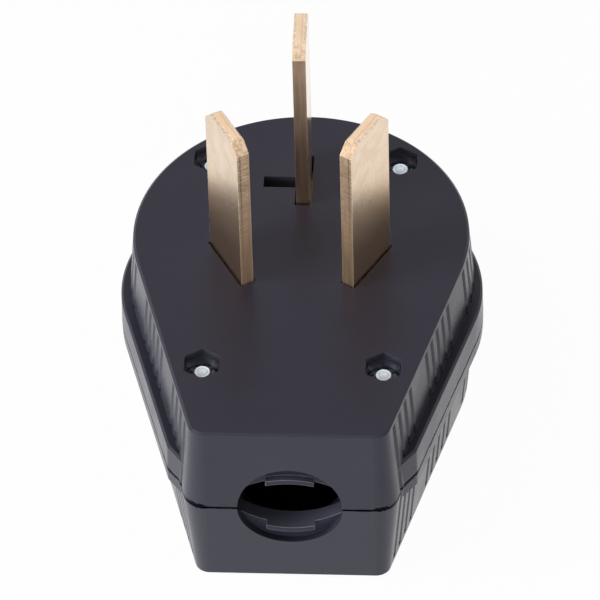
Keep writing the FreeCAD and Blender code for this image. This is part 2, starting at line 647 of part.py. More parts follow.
def wire_clamp(name):
    """A small forked plate between the terminal screw's head and the foot, open away from the blade."""
    x, y, turn = beside(name, "Sizes.terminal_offset")
    key = name + "_clamp"
    opening = "(2 * (Sizes.terminal_radius + Sizes.screw_hole_gap))"
    plate = box(
        key + "_plate", "Sizes.clamp_length", "Sizes.clamp_width", "Sizes.clamp_thickness",
        "-Sizes.clamp_length / 2", "-Sizes.clamp_width / 2", "-Sizes.clamp_thickness",
    )
    mouth = box(
        key + "_mouth", "Sizes.clamp_length", opening, "Sizes.clamp_thickness + 2 * Sizes.overrun",
        "-%s / 2" % opening, "-%s / 2" % opening, "-Sizes.clamp_thickness - Sizes.overrun",
    )
    whole = cut(key + "_solid", plate, mouth)
    place(whole, x, y, FOOT_Z, turn)
    return node(whole, name + "_wire_clamp")


def housing_screw(name):
    """A round-headed machine screw with a cross recess, put in from the back."""
    x, y = SCREWS[name]
    key = name + "_screw"
    head = cylinder(
        key + "_head", "Sizes.screw_head_radius", "Sizes.screw_head_height", z="-Sizes.screw_head_height")
    shank = cylinder(key + "_shank", "Sizes.screw_radius", "Sizes.screw_length")
    arms = [
        box("%s_arm_%s" % (key, turn), "Sizes.cross_length", "Sizes.cross_width", "Sizes.cross_depth",
            along, across, "-Sizes.screw_head_height", turn)
        for turn, along, across in (
            ("0", "-Sizes.cross_length / 2", "-Sizes.cross_width / 2"),
            ("90", "Sizes.cross_width / 2", "-Sizes.cross_length / 2"),
        )
    ]
    whole = cut(key + "_solid", joined(key + "_stock", [head, shank]), joined(key + "_cross", arms))
    place(whole, x, y, SCREW_SEAT_Z)
    return node(whole, name + "_housing_screw")


def hex_nut(name):
    """A hexagon nut, sunk in the face."""
    x, y = SCREWS[name]
    key = name + "_nut"
    blank = hexagon(key + "_blank", "Sizes.nut_flats", "Sizes.nut_height")
    hole = cylinder(
        key + "_hole", "Sizes.screw_radius + Sizes.thread_gap",
        "Sizes.nut_height + 2 * Sizes.overrun", z="-Sizes.overrun")
    whole = cut(key + "_solid", blank, hole)
    place(whole, x, y, NUT_SEAT_Z)
    return node(whole, name + "_nut")


def tongue_outline(sketch):
    """A stretch of the band that lies round the gripping edge, cut off upright at both ends."""
    half, inner = value("Sizes.tongue_width") / 2, value("Sizes.grip_arc")
    outer, middle = inner + value("Sizes.tongue_height"), value("Sizes.grip_crown") - inner
    bounds = []
    for radius in (inner, outer):
        lean = math.degrees(math.acos(half / radius))
        end = middle + math.sqrt(radius ** 2 - half ** 2)
        bounds.append((arc(0, middle, radius, lean, 180 - lean), end))
    (low, low_end), (high, high_end) = bounds
    sketch.addGeometry([
        low, line((-half, low_end), (-half, high_end)), high, line((half, high_end), (half, low_end)),
    ], False)
    rule = Sketcher.Constraint
    sketch.addConstraint([
        rule("Coincident", 0, 2, 1, 1), rule("Coincident", 1, 2, 2, 2),
        rule("Coincident", 2, 1, 3, 1), rule("Coincident", 3, 2, 0, 1),
        rule("Vertical", 1), rule("Vertical", 3), rule("Coincident", 0, 3, 2, 3),
        rule("PointOnObject", 0, 3, -2), rule("Symmetric", 0, 1, 0, 2, -2),
    ])
    size_constraint(sketch, "inner", "Sizes.grip_arc", "Radius", 0)
    size_constraint(sketch, "outer", "Sizes.grip_arc + Sizes.tongue_height", "Radius", 2)
    size_constraint(sketch, "width", "Sizes.tongue_width", "DistanceX", 0, 2, 0, 1)
    size_constraint(sketch, "crown", "Sizes.grip_arc - Sizes.grip_crown", "DistanceY", 0, 3, -1, 1)


def cord_grip(name, roll):
    """A plate with a hollow gripping edge and a tongue under the rim of the cord opening."""
    body = DOC.addObject("PartDesign::Body", name + "_body")
    profile = new_sketch(body, name + "_profile", "XZ_Plane")
    wide, high, low = value("Sizes.grip_half_width"), value("Sizes.grip_height"), value("Sizes.grip_gap")
    radius, crown, mouth = value("Sizes.grip_arc"), value("Sizes.grip_crown"), value("Sizes.cord_radius")
    shoulder = crown - radius + math.sqrt(radius ** 2 - mouth ** 2)
    lean = math.degrees(math.atan2(math.sqrt(radius ** 2 - mouth ** 2), mouth))
    profile.addGeometry([
        line((mouth, low), (mouth, shoulder)),
        arc(0, crown - radius, radius, lean, 180 - lean),
        line((-mouth, shoulder), (-mouth, low)),
        line((-mouth, low), (-wide, low)),
        line((-wide, low), (-wide, high)),
        line((-wide, high), (wide, high)),
        line((wide, high), (wide, low)),
        line((wide, low), (mouth, low)),
    ], False)
    rule = Sketcher.Constraint
    profile.addConstraint([rule("Coincident", item, 2, item + 1, 1) for item in range(7)])
    profile.addConstraint(rule("Coincident", 7, 2, 0, 1))
    profile.addConstraint([rule("Horizontal", item) for item in (3, 7)])
    profile.addConstraint([rule("Vertical", item) for item in (0, 2, 4, 6)])
    profile.addConstraint([rule("PointOnObject", 1, 3, -2), rule("Symmetric", 4, 2, 5, 2, -2)])
    profile.addConstraint(rule("Symmetric", 2, 2, 0, 1, -2))
    size_constraint(profile, "gap", "Sizes.grip_gap", "DistanceY", -1, 1, 0, 1)
    size_constraint(profile, "height", "Sizes.grip_height", "DistanceY", -1, 1, 5, 1)
    size_constraint(profile, "mouth", "Sizes.cord_radius", "DistanceX", -1, 1, 0, 1)
    size_constraint(profile, "half_width", "Sizes.grip_half_width", "DistanceX", -1, 1, 6, 1)
    size_constraint(profile, "grip_arc", "Sizes.grip_arc", "Radius", 1)
    size_constraint(profile, "crown", "Sizes.grip_arc - Sizes.grip_crown", "DistanceY", 1, 3, -1, 1)
    plate = body.newObject("PartDesign::Pad", name + "_plate")
    plate.Profile = profile
    plate.Reversed = True
    bind(plate, Length="Sizes.grip_thickness")
    tongue_profile = new_sketch(body, name + "_tongue_profile", "XZ_Plane")
    tongue_outline(tongue_profile)
    tongue = body.newObject("PartDesign::Pad", name + "_tongue")
    tongue.Profile = tongue_profile
    bind(tongue, Length="Sizes.tongue_length")
    place(body, "0", GRIP_Y, SEAM_Z, "0", roll)
    return node(body, name)


front_shell()
back_shell()
for side in BLADES:
    blade(side)
    wire_clamp(side)
    terminal_screw(side)
for spot in SCREWS:
    housing_screw(spot)
    hex_nut(spot)
cord_grip("upper_cord_grip", "0")
cord_grip("lower_cord_grip", "180")
DOC.recompute()

for item in DOC.Objects:
    if "Invalid" in item.State or "Error" in item.State:
        raise RuntimeError("%s is not sound: %s" % (item.Name, item.State))
for piece in NODES:
    if piece.Shape.isNull() or not piece.Shape.isValid() or len(piece.Shape.Solids) != 1:
        raise RuntimeError("%s is not one sound solid" % piece.Label)

os.makedirs("parts", exist_ok=True)
for piece in NODES:
    piece.Shape.exportStep("parts/%s.step" % piece.Label)
    print("%-28s %10.2f mm3" % (piece.Label, piece.Shape.Volume))
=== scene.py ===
import math

import bmesh
import bpy
from mathutils import Matrix, Vector


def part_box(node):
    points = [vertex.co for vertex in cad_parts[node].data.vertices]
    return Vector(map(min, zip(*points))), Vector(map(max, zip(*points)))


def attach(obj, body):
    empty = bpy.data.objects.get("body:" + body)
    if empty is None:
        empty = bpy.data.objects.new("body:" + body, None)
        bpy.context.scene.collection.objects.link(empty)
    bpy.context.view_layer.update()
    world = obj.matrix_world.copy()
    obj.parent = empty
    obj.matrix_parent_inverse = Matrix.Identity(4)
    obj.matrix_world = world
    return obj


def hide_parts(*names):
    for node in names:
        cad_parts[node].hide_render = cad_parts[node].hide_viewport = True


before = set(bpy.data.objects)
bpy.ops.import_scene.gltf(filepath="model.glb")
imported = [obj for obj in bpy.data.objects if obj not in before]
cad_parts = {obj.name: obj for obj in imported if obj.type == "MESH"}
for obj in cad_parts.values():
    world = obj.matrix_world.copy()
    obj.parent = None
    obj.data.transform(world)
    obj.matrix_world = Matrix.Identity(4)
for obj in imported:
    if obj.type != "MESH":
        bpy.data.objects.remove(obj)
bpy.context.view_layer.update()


# The floor
# A wide pale sheet of card that the plug lies on, with its back flat on the card.
# It looks white to the camera and in the metal, and keeps a faint shadow under the plug.
MM = 0.001
FLOOR_HALF = 3.0
FLOOR_DROP = 0.02 * MM
FLOOR_COLOUR = (0.90, 0.90, 0.91, 1.0)
FLOOR_GLOW = 0.97
WHITE = (1.0, 1.0, 1.0, 1.0)


def add(tree, kind, sockets=None, **settings):
    """A new shader node. A value that is itself a socket is linked, any other one is set."""
    new = tree.nodes.new("ShaderNode" + kind)
    for name, value in settings.items():
        setattr(new, name, value)
    for name, value in (sockets or {}).items():
        if isinstance(value, bpy.types.NodeSocket):
            tree.links.new(value, new.inputs[name])
        else:
            new.inputs[name].default_value = value
    return new


def maths(tree, operation, *values, clamp=False):
    """What an operation makes of one or two values, or of more that are taken in one by one."""
    result = add(tree, "Math", dict(enumerate(values[:2])), operation=operation, use_clamp=clamp).outputs[0]
    for value in values[2:]:
        result = add(tree, "Math", {0: result, 1: value}, operation=operation, use_clamp=clamp).outputs[0]
    return result


def rays_of_white(tree):
    """1 for the rays that have to see white: the camera's, mirrored ones and those through glass."""
    rays = add(tree, "LightPath").outputs
    seen = [rays["Is Camera Ray"], rays["Is Glossy Ray"], rays["Is Transmission Ray"]]
    return maths(tree, "ADD", *seen, clamp=True)


def emptied(owner):
    """The node tree of a material or world, with nothing in it yet."""
    owner.use_nodes = True
    owner.node_tree.nodes.clear()
    return owner.node_tree


floor_mesh = bpy.data.meshes.new("floor")
corners = [(x * FLOOR_HALF, y * FLOOR_HALF, 0.0) for x, y in ((-1, -1), (1, -1), (1, 1), (-1, 1))]
floor_mesh.from_pydata(corners, [], [(0, 1, 2, 3)])
floor = bpy.data.objects.new("floor", floor_mesh)
floor.location.z = -FLOOR_DROP
bpy.context.scene.collection.objects.link(floor)
card = bpy.data.materials.new("pale_card")
tree = emptied(card)
matt = add(tree, "BsdfDiffuse", {"Color": FLOOR_COLOUR})
glow = add(tree, "Emission", {"Color": WHITE})
share = maths(tree, "MULTIPLY", rays_of_white(tree), FLOOR_GLOW)
blend = add(tree, "MixShader", {0: share, 1: matt.outputs[0], 2: glow.outputs[0]})
add(tree, "OutputMaterial", {"Surface": blend.outputs[0]})
floor_mesh.materials.append(card)


# The room's light
# A white room lights the plug evenly from all sides. One large soft lamp stands at the upper left,
# one low on the left and one low in front, which gives the forms a side in light and one in shade.
ROOM_LIGHT = 0.18
LAMP_AIM = Vector((0.0, 0.0, 0.02))
# Each lamp's place, width and power, and whether metal mirrors it. The low ones would only glare.
LAMPS = {
    "soft_lamp": ((-0.9, -0.35, 1.3), 0.9, 6.0, True),
    "side_lamp": ((-1.4, -0.45, 0.35), 0.8, 22.0, False),
    "front_lamp": ((-0.25, -1.5, 0.35), 0.8, 10.0, False),
}

room = bpy.data.worlds.new("white_room")
bpy.context.scene.world = room
tree = emptied(room)
walls = add(tree, "Background", {"Color": WHITE, "Strength": ROOM_LIGHT})
white = add(tree, "Background", {"Color": WHITE})
blend = add(tree, "MixShader", {0: rays_of_white(tree), 1: walls.outputs[0], 2: white.outputs[0]})
add(tree, "OutputWorld", {"Surface": blend.outputs[0]})

for name, (place, width, power, mirrored) in LAMPS.items():
    lamp_data = bpy.data.lights.new(name, "AREA")
    lamp_data.shape = "DISK"
    lamp_data.size = width
    lamp_data.energy = power
    lamp = bpy.data.objects.new(name, lamp_data)
    lamp.location = place
    lamp.visible_glossy = mirrored
    lamp.rotation_euler = (LAMP_AIM - Vector(place)).to_track_quat("-Z", "Y").to_euler()
    bpy.context.scene.collection.objects.link(lamp)


# The camera
# A long lens looks down on the plug's face from over its cord end, a little from the right.
PICTURE_SIZE = 600
SENSOR_WIDTH = 36.0
FOCAL_PIXELS = 7093.41
CAMERA_PLACE = (60.12 * MM, -892.93 * MM, 948.55 * MM)
CAMERA_DOWN = math.radians(45.74)
CAMERA_TURN = math.radians(-3.845)
CAMERA_ROLL = math.radians(-1.706)
CLIP_NEAR, CLIP_FAR = 0.1, 20.0

ahead = Vector((
    math.sin(CAMERA_TURN) * math.cos(CAMERA_DOWN), math.cos(CAMERA_TURN) * math.cos(CAMERA_DOWN),
    -math.sin(CAMERA_DOWN),
))
level = Vector((math.cos(CAMERA_TURN), -math.sin(CAMERA_TURN), 0.0))
upright = level.cross(ahead)
right = math.cos(CAMERA_ROLL) * level + math.sin(CAMERA_ROLL) * upright
above = -math.sin(CAMERA_ROLL) * level + math.cos(CAMERA_ROLL) * upright
aim = Matrix((right, above, -ahead)).transposed().to_4x4()
camera_data = bpy.data.cameras.new("camera")
camera_data.sensor_width = SENSOR_WIDTH
camera_data.lens = FOCAL_PIXELS / PICTURE_SIZE * SENSOR_WIDTH
camera_data.clip_start = CLIP_NEAR
camera_data.clip_end = CLIP_FAR
camera = bpy.data.objects.new("camera", camera_data)
camera.matrix_world = Matrix.Translation(CAMERA_PLACE) @ aim
bpy.context.scene.collection.objects.link(camera)
bpy.context.scene.camera = camera
bpy.context.scene.view_settings.view_transform = "Standard"


# The two shells
# Black plastic, moulded in a finely matt tool. The front shell carries the face, the back shell
# closes it from behind, and they meet at a small gap with a ragged edge where a little flash was left,
# which painted shade widens into a black line.
# The face colours are painted shade on upward faces, and the paler wall colours painted light on the sides,
# of the one plastic.
FACE_DARK, FACE_PALE = (0.0180, 0.0168, 0.0275, 1.0), (0.0260, 0.0244, 0.0385, 1.0)
WALL_DARK, WALL_PALE = (0.0278, 0.0282, 0.0395, 1.0), (0.0358, 0.0363, 0.0497, 1.0)
SHELL_EDGE = (0.070, 0.069, 0.086, 1.0)
# Painted shade on upward faces in the walls' shelter, such as the ledge, and painted light that makes deep
# recesses paler.
SHELF_PAINTED_SHADE, RECESS_PAINTED_LIGHT = (0.011, 0.011, 0.019, 1.0), (0.22, 0.22, 0.28, 1.0)
SEAM_PAINTED_SHADE = (0.004, 0.004, 0.006, 1.0)
SHELL_GLOSS, SHELL_GLOSS_TINT = 0.34, (0.85, 0.83, 1.0, 1.0)
PLASTIC_IOR = 1.5
SHELL_ROUGH = (0.28, 0.34)
GRAIN_ROUGHENS, SIDES_SMOOTHER = 0.06, 0.05
SHELL_EDGE_RADIUS, SHELL_GRAIN_DEPTH = 0.18 * MM, 0.006 * MM
MOTTLE_SIZE, GRAIN_SIZE, WAVE_SIZE = 3.2 * MM, 0.22 * MM, 4.5 * MM
WAVE_DEPTH, WAVE_STRENGTH = 0.05 * MM, 0.5
SHELTER_REACH = 12.0 * MM
# The soft bounds of masks, from where one is 0 to where it is 1
NOISE_BOUNDS = (0.3, 0.7)
EDGE_BOUNDS, SHELF_BOUNDS, RECESS_BOUNDS = (0.985, 0.86), (0.95, 0.70), (0.22, 0.08)
UPWARD_BOUNDS, SIDEWAYS_BOUNDS = (0.6, 0.9), (0.35, 0.8)
# The blotches of a noise of scale 1 are about this wide, in metres, and its values lie round this middle
NOISE_WIDTH, NOISE_MIDDLE = 0.5, 0.5


def new_group(name, inputs):
    """An empty node group with these inputs (name: value), and the sockets that give them inside it."""
    group = bpy.data.node_groups.new(name, "ShaderNodeTree")
    for label, value in inputs.items():
        socket = group.interface.new_socket(label, in_out="INPUT", socket_type="NodeSocketFloat")
        socket.default_value = value
    return group, group.nodes.new("NodeGroupInput").outputs


def put_out(group, **values):
    """Gives a group an output for each value."""
    kinds = {"VALUE": "NodeSocketFloat", "VECTOR": "NodeSocketVector", "RGBA": "NodeSocketColor"}
    for label, value in values.items():
        group.interface.new_socket(label, in_out="OUTPUT", socket_type=kinds[value.type])
    ends = group.nodes.new("NodeGroupOutput").inputs
    for label, value in values.items():
        group.links.new(value, ends[label])


def noise(tree, place, size, detail=2.0, rough=0.5):
    """Noise from 0 to 1 whose blotches are about size across, in metres."""
    sockets = {"Vector": place, "Scale": NOISE_WIDTH / size, "Detail": detail, "Roughness": rough}
    return add(tree, "TexNoise", sockets).outputs[0]


def swing(tree, place, size, reach):
    """Noise to both sides of 0, by about half the reach."""
    off_middle = maths(tree, "SUBTRACT", noise(tree, place, size, detail=3.0), NOISE_MIDDLE)
    return maths(tree, "MULTIPLY", off_middle, reach)


def ramp(tree, value, low, high, out_low=0.0, out_high=1.0):
    """The value taken smoothly from one range to another."""
    return add(tree, "MapRange", {0: value, 1: low, 2: high, 3: out_low, 4: out_high},
               interpolation_type="SMOOTHSTEP").outputs[0]


def mixed(tree, share, first, second):
    """Two colours mixed."""
    return add(tree, "Mix", {0: share, 6: first, 7: second}, data_type="RGBA").outputs[2]


def raised(tree, height, depth, normal, strength=1.0):
    """The normal of a surface whose relief is height times depth, in metres."""
    sockets = {"Height": height, "Distance": depth, "Strength": strength, "Normal": normal}
    return add(tree, "Bump", sockets).outputs[0]


def softened(tree, radius, samples):
    """The normal of a surface with rounded edges, and how far it agrees with the sharp one's, up to 1."""
    soft = add(tree, "Bevel", {"Radius": radius}, samples=samples).outputs[0]
    plain = add(tree, "NewGeometry").outputs["Normal"]
    same = add(tree, "VectorMath", {0: soft, 1: plain}, operation="DOT_PRODUCT").outputs["Value"]
    return soft, same


# The skin of a moulding: soft edges, slow waves where it cooled, and the tool's fine matt grain
moulded_skin, given = new_group(
    "moulded_skin", {"Edge Radius": SHELL_EDGE_RADIUS, "Grain Depth": SHELL_GRAIN_DEPTH},
)
tree = moulded_skin
place = add(tree, "TexCoord").outputs["Object"]
grain = noise(tree, place, GRAIN_SIZE, detail=3.0, rough=0.6)
soft, same = softened(tree, given["Edge Radius"], samples=6)
waved = raised(tree, noise(tree, place, WAVE_SIZE, detail=1.0), WAVE_DEPTH, soft, WAVE_STRENGTH)
around = add(tree, "AmbientOcclusion", {"Distance": SHELTER_REACH}, samples=8, only_local=True)
facing = add(tree, "SeparateXYZ", {0: add(tree, "NewGeometry").outputs["Normal"]}).outputs
upward = ramp(tree, facing["Z"], *UPWARD_BOUNDS)
# Two of these masks, read from occlusion, place painted light: shade on sheltered upward faces, and paler
# deep recesses.
put_out(
    moulded_skin, Mottle=noise(tree, place, MOTTLE_SIZE, detail=4.0, rough=0.6), Grain=grain,
    Edge=ramp(tree, same, *EDGE_BOUNDS), Upward=upward,
    Sideways=ramp(tree, maths(tree, "ABSOLUTE", facing["X"]), *SIDEWAYS_BOUNDS),
    Shelf=maths(tree, "MULTIPLY", upward, ramp(tree, around.outputs["AO"], *SHELF_BOUNDS)),
    Recess=ramp(tree, around.outputs["AO"], *RECESS_BOUNDS),
    Normal=raised(tree, grain, given["Grain Depth"], waved),
)

# The line where the shells meet, painted black as the shade in the gap between them. It wanders
# up and down and in width, most at the nose's corners, and along the right side half as much.
SEAM_HEIGHT = 19.75 * MM
SEAM_THIN, SEAM_THICK, SEAM_TORN = 0.20 * MM, 0.42 * MM, 0.6 * MM
SEAM_WANDER, FLASH_WANDER = 0.35 * MM, 2.4 * MM
WIDTH_CHANGE, HEIGHT_CHANGE = 1.3 * MM, 1.6 * MM
CORNER_ACROSS, CORNER_ALONG = (14.0 * MM, 16.5 * MM), (-24.0 * MM, -30.0 * MM)
RIGHT_ACROSS, RIGHT_ALONG, RIGHT_SHARE = (16.0 * MM, 20.0 * MM), (8.0 * MM, -4.0 * MM), 0.5
SEAM_BOUNDS = (1.0, 0.55)
SEAM_DEPTH = 0.15 * MM

seam_line, given = new_group("seam_line", {"Height": SEAM_HEIGHT})
tree = seam_line
place = add(tree, "TexCoord").outputs["Object"]
spot = add(tree, "SeparateXYZ", {0: place}).outputs
corner = maths(tree, "MULTIPLY", ramp(tree, maths(tree, "ABSOLUTE", spot["X"]), *CORNER_ACROSS),
               ramp(tree, spot["Y"], *CORNER_ALONG))
right_side = maths(tree, "MULTIPLY", ramp(tree, spot["X"], *RIGHT_ACROSS, 0.0, RIGHT_SHARE),
                   ramp(tree, spot["Y"], *RIGHT_ALONG))
rough_part = maths(tree, "MAXIMUM", corner, right_side)
offset = swing(tree, place, HEIGHT_CHANGE, ramp(tree, rough_part, 0.0, 1.0, SEAM_WANDER, FLASH_WANDER))
away = maths(tree, "ABSOLUTE", maths(tree, "SUBTRACT", spot["Z"], given["Height"], offset))
wander = noise(tree, place, WIDTH_CHANGE, detail=3.0, rough=0.6)
torn_width = maths(tree, "MULTIPLY", rough_part, maths(tree, "MULTIPLY", wander, SEAM_TORN))
width = maths(tree, "ADD", ramp(tree, wander, *NOISE_BOUNDS, SEAM_THIN, SEAM_THICK), torn_width)
put_out(seam_line, Gap=ramp(tree, maths(tree, "DIVIDE", away, width), *SEAM_BOUNDS))

shell_plastic = bpy.data.materials.new("shell_plastic")
tree = emptied(shell_plastic)
skin = add(tree, "Group", node_tree=moulded_skin).outputs
gap = add(tree, "Group", node_tree=seam_line).outputs["Gap"]
# Painted light and shade: the sides take the paler wall colour, upward faces the darker face colour.
lit_wall = mixed(tree, skin["Mottle"], WALL_DARK, WALL_PALE)
shaded_face = mixed(tree, skin["Mottle"], FACE_DARK, FACE_PALE)
colour = mixed(tree, skin["Upward"], lit_wall, shaded_face)
colour = mixed(tree, maths(tree, "MULTIPLY", skin["Edge"], skin["Mottle"]), colour, SHELL_EDGE)
# Painted shade on sheltered upward faces, and painted light in deep recesses.
colour = mixed(tree, skin["Shelf"], mixed(tree, skin["Recess"], colour, RECESS_PAINTED_LIGHT), SHELF_PAINTED_SHADE)
# Painted shade: the seam's line is black, and metallic so that it has no gloss.
colour = mixed(tree, gap, colour, SEAM_PAINTED_SHADE)
rough = ramp(tree, skin["Mottle"], *NOISE_BOUNDS, *SHELL_ROUGH)
rough = maths(tree, "ADD", rough, maths(tree, "MULTIPLY", skin["Grain"], GRAIN_ROUGHENS))
rough = maths(tree, "SUBTRACT", rough, maths(tree, "MULTIPLY", skin["Sideways"], SIDES_SMOOTHER))
shader = add(tree, "BsdfPrincipled", {
    "Base Color": colour, "Roughness": rough, "IOR": PLASTIC_IOR, "Specular IOR Level": SHELL_GLOSS,
    "Specular Tint": SHELL_GLOSS_TINT, "Metallic": gap,
    "Normal": raised(tree, gap, -SEAM_DEPTH, skin["Normal"]),
})
add(tree, "OutputMaterial", {"Surface": shader.outputs[0]})


def dress(name, material):
    """Gives a solid of the model its finish."""
    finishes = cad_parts[name].data.materials
    finishes.clear()
    finishes.append(material)


dress("front_shell", shell_plastic)
dress("back_shell", shell_plastic)


# The cord grips
# Two bars of the same plastic that bite the cord's jacket inside the mouth, one from above and one
# from below. Their edges are rubbed paler, and painted light makes their sheltered and upward faces paler.
GRIP_DARK, GRIP_PALE = (0.018, 0.018, 0.032, 1.0), (0.028, 0.028, 0.046, 1.0)
# Painted light: sheltered faces in the mouth, and upward faces, are paler.
GRIP_SHELTERED_PAINTED_LIGHT, GRIP_UPWARD_PAINTED_LIGHT = (0.12, 0.12, 0.15, 1.0), (0.065, 0.065, 0.090, 1.0)
GRIP_EDGE = (0.30, 0.30, 0.34, 1.0)
GRIP_GLOSS = 0.2
GRIP_ROUGH, GRIP_GRAIN_BOUNDS = (0.36, 0.52), (0.2, 0.8)
GRIP_EDGE_RADIUS, GRIP_GRAIN_DEPTH = 0.16 * MM, 0.01 * MM
MOUTH_REACH = 7.0 * MM
OPEN_BOUNDS = (0.12, 0.42)

grip_plastic = bpy.data.materials.new("grip_plastic")
tree = emptied(grip_plastic)
skin_values = {"Edge Radius": GRIP_EDGE_RADIUS, "Grain Depth": GRIP_GRAIN_DEPTH}
skin = add(tree, "Group", skin_values, node_tree=moulded_skin).outputs
around = add(tree, "AmbientOcclusion", {"Distance": MOUTH_REACH}, samples=8).outputs["AO"]
colour = mixed(tree, skin["Mottle"], GRIP_DARK, GRIP_PALE)
# Painted light that lifts the shade in the mouth's sheltered places, and on upward faces
colour = mixed(tree, ramp(tree, around, *OPEN_BOUNDS), GRIP_SHELTERED_PAINTED_LIGHT, colour)
colour = mixed(tree, skin["Upward"], colour, GRIP_UPWARD_PAINTED_LIGHT)
colour = mixed(tree, skin["Edge"], colour, GRIP_EDGE)
rough = ramp(tree, skin["Grain"], *GRIP_GRAIN_BOUNDS, *GRIP_ROUGH)
shader = add(tree, "BsdfPrincipled", {
    "Base Color": colour, "Roughness": rough, "IOR": PLASTIC_IOR, "Specular IOR Level": GRIP_GLOSS,
    "Normal": skin["Normal"],
})
add(tree, "OutputMaterial", {"Surface": shader.outputs[0]})
dress("upper_cord_grip", grip_plastic)
dress("lower_cord_grip", grip_plastic)


# The blades
# Strips of half-hard brass, sheared to length and width, with their two outer corners cut off.
# The rolled faces are satin and faintly blotched, and the sheared edges are streaked and torn.
BLADE_TURN = math.radians(30.4)
SIDE_BLADE_REACH = 5.0 * MM
SIDE_BLADE_OFF = 9.29 * MM
SHEARED_BOUNDS, UPRIGHT_BOUNDS = (0.6, 0.3), (0.85, 0.95)


def turned_back(tree, vector, turn):
    """A place on a side blade, or a direction, as it would be if the blade stood along Y."""
    sockets = {"Vector": vector, "Angle": turn}
    return add(tree, "VectorRotate", sockets, rotation_type="Z_AXIS").outputs[0]


# A blade's own directions: along its width, through it, and up, whichever way it is turned
blade_sides, given = new_group("blade_sides", {"Turn": BLADE_TURN})
tree = blade_sides
place = add(tree, "TexCoord").outputs["Object"]
across = add(tree, "SeparateXYZ", {0: place}).outputs["X"]
outer = maths(tree, "GREATER_THAN", maths(tree, "ABSOLUTE", across), SIDE_BLADE_REACH)
side = maths(tree, "MULTIPLY", maths(tree, "SIGN", across), outer)
turn = maths(tree, "MULTIPLY", side, given["Turn"])
own = turned_back(tree, place, turn)
facing = turned_back(tree, add(tree, "NewGeometry").outputs["Normal"], turn)
facing = add(tree, "SeparateXYZ", {0: facing}).outputs
through = add(tree, "SeparateXYZ", {0: own}).outputs["X"]
through = maths(tree, "SUBTRACT", through, maths(tree, "MULTIPLY", side, SIDE_BLADE_OFF))
put_out(
    blade_sides, Place=own, Side=outer, Through=through, Outward=maths(tree, "MULTIPLY", through, side),
    Sheared=ramp(tree, maths(tree, "ABSOLUTE", facing["X"]), *SHEARED_BOUNDS),
    Upright=ramp(tree, maths(tree, "ABSOLUTE", facing["Y"]), *UPRIGHT_BOUNDS),
    Upward=maths(tree, "ABSOLUTE", facing["Z"]),
)

BRASS_PALE, BRASS_DEEP = (0.86, 0.69, 0.53, 1.0), (0.79, 0.61, 0.45, 1.0)
# The rubbed colour along the edges is partly real rubbing and partly a painted highlight.
BROWN_PAINTED_REFLECTION, BRASS_RUBBED_HIGHLIGHT = (0.84, 0.60, 0.39, 1.0), (1.0, 0.82, 0.60, 1.0)
BRASS_TORN = (0.17, 0.11, 0.07, 1.0)
BRASS_EDGE_RADIUS = 0.22 * MM
RUBBED_BOUNDS, BLOTCH_BOUNDS = (0.99, 0.9), (0.35, 0.65)
# The heights between which the brownish painted reflection of the dark face at the foot fades, and the side
# blades' edges grow more torn
BROWN_LOW, BROWN_HIGH = 46.0 * MM, 64.0 * MM
TEAR_LOW, TEAR_HIGH = 44.0 * MM, 64.0 * MM
# The size of each kind of mark, and its scale along X, Y and Z where it is drawn out
PORE_SIZE, PORE_SCALE = 0.45 * MM, (1.0, 1.0, 0.35)
STREAK_SIZE, STREAK_SCALE = 0.4 * MM, (1.0, 1.0, 0.06)
TEAR_SIZE, TEAR_SCALE = 0.12 * MM, (0.12, 1.0, 1.0)
BLOTCH_SIZE, PIT_SIZE = 1.8 * MM, 0.35 * MM
# The dark lines that the shear leaves: how far off the blade's middle, how soft, how they wander
TOP_LINE, TOP_LINE_BOUNDS = 0.35 * MM, (0.11 * MM, 0.02 * MM)
TEAR_LINE, TEAR_LINE_BOUNDS = 0.62 * MM, (0.34 * MM, 0.06 * MM)
WANDER_SIZE, TEAR_WANDER = 0.5 * MM, 0.5 * MM
TICK_BOUNDS, STREAK_BOUNDS, PIT_BOUNDS = (0.62, 0.38), (0.35, 0.7), (0.55, 0.4)
# The faces of the cut corners look partly upward, between these bounds
CUT_BOUNDS, TOP_BOUNDS = (0.2, 0.4), (0.95, 0.85)
# How strong each mark is
TORN_SHARES, TEAR_LINE_SHARES = (0.3, 1.0), (1.0, 0.45)
TOP_LINE_SHARE, TICK_SHARE, STREAK_SHARE, BROWN_EDGE_SHARE = 0.6, 0.5, 0.3, 0.4
CRACK_SHADE, TOP_LINE_SHADE, PIT_SHADE = 0.9, 0.5, 0.35
PORE_DEPTH, BLOTCH_DEPTH, CRACK_DEPTH, PIT_DEPTH_SHARE = 0.0012 * MM, 0.004 * MM, 0.03 * MM, 0.5
# Roughness: at the foot and at the top, and what each kind of surface adds to it
BRASS_ROUGH, TORN_EDGE_ROUGH, MIDDLE_EDGE_ROUGH = (0.32, 0.23), (0.24, 0.42), (0.13, 0.36)
PORE_ROUGH, RUBBED_ROUGH, MIDDLE_SMOOTHER = 0.012, 0.12, 0.11


def scaled(tree, place, scale):
    """A place scaled along X, Y and Z, which draws out the marks made from it."""
    return add(tree, "Mapping", {"Vector": place, "Scale": scale}).outputs[0]


def ragged_line(tree, way, wander, line, bounds):
    """The mask of a soft wandering line, at one value of the way across it."""
    past_line = maths(tree, "SUBTRACT", maths(tree, "ADD", way, wander), line)
    return ramp(tree, maths(tree, "ABSOLUTE", past_line), *bounds)


